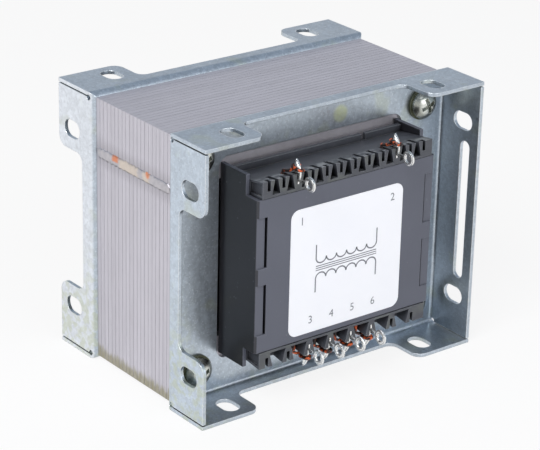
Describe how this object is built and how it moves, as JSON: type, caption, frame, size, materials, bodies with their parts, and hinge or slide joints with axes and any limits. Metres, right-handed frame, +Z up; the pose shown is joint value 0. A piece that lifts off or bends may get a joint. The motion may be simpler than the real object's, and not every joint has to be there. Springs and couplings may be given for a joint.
{
  "type": "laminated chassis transformer",
  "caption": "Mains transformer with a welded lamination core between two folded, slotted end frames, a toothed plastic bobbin, solder tags and a coil cover.",
  "frame": {"origin": "on the mounting plane under the base, midway between the two end frames and midway across", "axes": "+X along the lamination stack towards the terminals, +Y across towards the full-height flange, +Z up"},
  "size_m": [0.0862, 0.108, 0.0905],
  "materials": {
    "core_steel": "bare electrical steel edges with fine lamination lines, olive stain along the bottom",
    "weld_bead": "uneven weld bead with brown and copper heat tints",
    "zinc_sheet": "bright zinc plate with a fine bluish mottle and yellowish edges",
    "bobbin_plastic": "glass-filled moulded plastic, satin, with varnish smears",
    "cover_plastic": "moulded plastic with a fine matt grain",
    "winding_wire": "enamelled copper wire",
    "insulation_film": "insulating film",
    "wrap_tape": "dark insulating tape",
    "label_paper": "smooth white self-adhesive paper",
    "plated_screw": "bright plated steel",
    "dark_washer": "dark olive passivated steel",
    "tinned_tag": "tinned brass with solder and flux residue",
    "enamelled_lead": "copper wire with orange-red enamel"
  },
  "bodies": {
    "root": {"e_core": "core_steel", "i_core": "core_steel", "left_weld": "weld_bead", "right_weld": "weld_bead", "front_frame": "zinc_sheet", "rear_frame": "zinc_sheet", "bobbin": "bobbin_plastic", "primary_winding": "winding_wire", "winding_insulation": "insulation_film", "secondary_winding": "winding_wire", "outer_wrap": "wrap_tape", "front_cover": "cover_plastic", "rear_cover": "cover_plastic", "label": "label_paper", "clamp_screws": "plated_screw", "front_washers": "dark_washer", "rear_washers": "dark_washer", "clamp_nuts": "plated_screw", "upper_tag_1": "tinned_tag", "upper_tag_2": "tinned_tag", "lower_tag_1": "tinned_tag", "lower_tag_2": "tinned_tag", "lower_tag_3": "tinned_tag", "lower_tag_4": "tinned_tag", "upper_lead_1": "enamelled_lead", "upper_lead_2": "enamelled_lead", "lower_lead_1": "enamelled_lead", "lower_lead_2": "enamelled_lead", "lower_lead_3": "enamelled_lead", "lower_lead_4": "enamelled_lead"}
  },
  "joints": []
}
